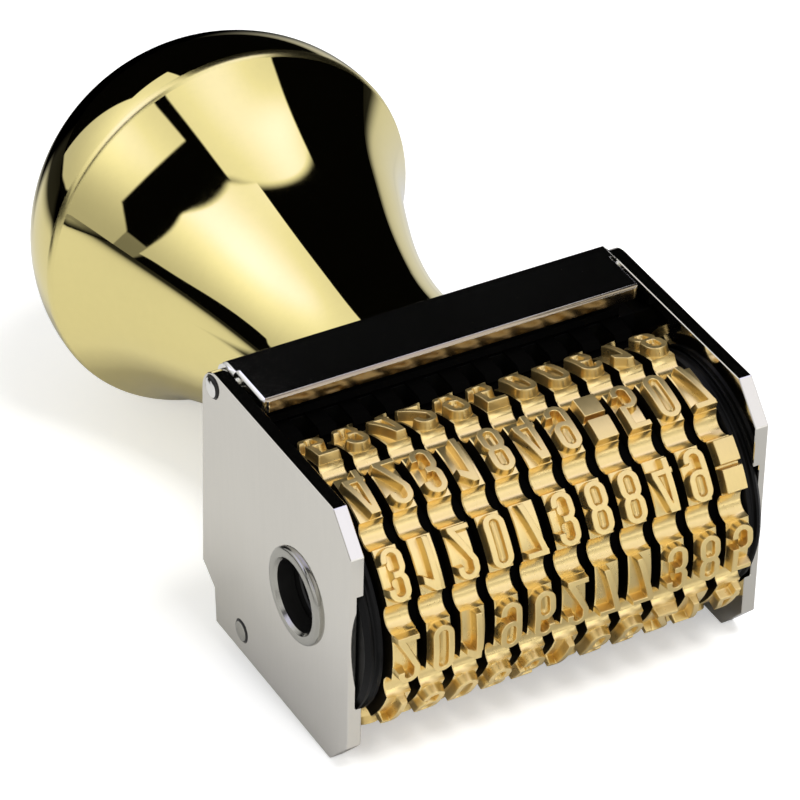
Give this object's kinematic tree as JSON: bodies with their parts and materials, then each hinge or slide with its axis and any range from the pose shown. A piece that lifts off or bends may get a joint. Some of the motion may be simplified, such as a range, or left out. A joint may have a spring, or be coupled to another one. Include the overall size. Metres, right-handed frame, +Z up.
{
  "type": "date stamp",
  "caption": "Hand stamp with a row of engraved brass number wheels between two plates, a black top lever and a brass palm knob.",
  "frame": {"origin": "middle of the hollow shaft's bore, on the axis that the number wheels turn about", "axes": "+X along the shaft towards the right cheek, +Y away from the print side towards the knob, +Z up, as the stamp rests on its side on a table with the head's lower front corners and the knob's rim touching"},
  "size_m": [0.054, 0.1049, 0.0487],
  "materials": {
    "plated_cheeks": "satin plated outer faces with bright bevelled edges",
    "black_block": "black, half matt",
    "polished_lever": "mirror polished, with bright bevelled edges",
    "polished_steel": "polished",
    "nickel_shaft": "turned, bright",
    "black_discs": "matt black",
    "blued_spring": "blackened spring steel",
    "machined_brass": "machined, fine sheen",
    "polished_brass": "mirror polished"
  },
  "bodies": {
    "head": {"left_cheek": "plated_cheeks", "right_cheek": "plated_cheeks", "back_block": "black_block", "lever_pin": "polished_steel", "tie_pin": "polished_steel", "hollow_shaft": "nickel_shaft", "shaft_ring": "nickel_shaft", "left_end_disc": "black_discs", "right_end_disc": "black_discs", "wheel_spacers": "black_discs", "detent_comb": "blued_spring", "comb_strip": "black_block", "strip_screws": "blued_spring", "handle_knob": "polished_brass", "handle_stud": "polished_steel"},
    "lever_plate": {"lever": "polished_lever"},
    "wheel_01_body": {"wheel_01": "machined_brass"},
    "wheel_02_body": {"wheel_02": "machined_brass"},
    "wheel_03_body": {"wheel_03": "machined_brass"},
    "wheel_04_body": {"wheel_04": "machined_brass"},
    "wheel_05_body": {"wheel_05": "machined_brass"},
    "wheel_06_body": {"wheel_06": "machined_brass"},
    "wheel_07_body": {"wheel_07": "machined_brass"},
    "wheel_08_body": {"wheel_08": "machined_brass"},
    "wheel_09_body": {"wheel_09": "machined_brass"},
    "wheel_10_body": {"wheel_10": "machined_brass"},
    "wheel_11_body": {"wheel_11": "machined_brass"}
  },
  "joints": [
    {"name": "lever_lift", "type": "hinge", "parent": "head", "child": "lever_plate", "pos_m": [0, 0.01858, 0.01721], "axis": [-1, 0, 0], "range_deg": [0, 60]},
    {"name": "wheel_01_turn", "type": "hinge", "parent": "head", "child": "wheel_01_body", "pos_m": [-0.02125, 0, 0], "axis": [1, 0, 0], "continuous": true, "deforming": ["detent_comb"]},
    {"name": "wheel_02_turn", "type": "hinge", "parent": "head", "child": "wheel_02_body", "pos_m": [-0.017, 0, 0], "axis": [1, 0, 0], "continuous": true, "deforming": ["detent_comb"]},
    {"name": "wheel_03_turn", "type": "hinge", "parent": "head", "child": "wheel_03_body", "pos_m": [-0.01275, 0, 0], "axis": [1, 0, 0], "continuous": true, "deforming": ["detent_comb"]},
    {"name": "wheel_04_turn", "type": "hinge", "parent": "head", "child": "wheel_04_body", "pos_m": [-0.0085, 0, 0], "axis": [1, 0, 0], "continuous": true, "deforming": ["detent_comb"]},
    {"name": "wheel_05_turn", "type": "hinge", "parent": "head", "child": "wheel_05_body", "pos_m": [-0.00425, 0, 0], "axis": [1, 0, 0], "continuous": true, "deforming": ["detent_comb"]},
    {"name": "wheel_06_turn", "type": "hinge", "parent": "head", "child": "wheel_06_body", "pos_m": [0, 0, 0], "axis": [1, 0, 0], "continuous": true, "deforming": ["detent_comb"]},
    {"name": "wheel_07_turn", "type": "hinge", "parent": "head", "child": "wheel_07_body", "pos_m": [0.00425, 0, 0], "axis": [1, 0, 0], "continuous": true, "deforming": ["detent_comb"]},
    {"name": "wheel_08_turn", "type": "hinge", "parent": "head", "child": "wheel_08_body", "pos_m": [0.0085, 0, 0], "axis": [1, 0, 0], "continuous": true, "deforming": ["detent_comb"]},
    {"name": "wheel_09_turn", "type": "hinge", "parent": "head", "child": "wheel_09_body", "pos_m": [0.01275, 0, 0], "axis": [1, 0, 0], "continuous": true, "deforming": ["detent_comb"]},
    {"name": "wheel_10_turn", "type": "hinge", "parent": "head", "child": "wheel_10_body", "pos_m": [0.017, 0, 0], "axis": [1, 0, 0], "continuous": true, "deforming": ["detent_comb"]},
    {"name": "wheel_11_turn", "type": "hinge", "parent": "head", "child": "wheel_11_body", "pos_m": [0.02125, 0, 0], "axis": [1, 0, 0], "continuous": true, "deforming": ["detent_comb"]}
  ]
}
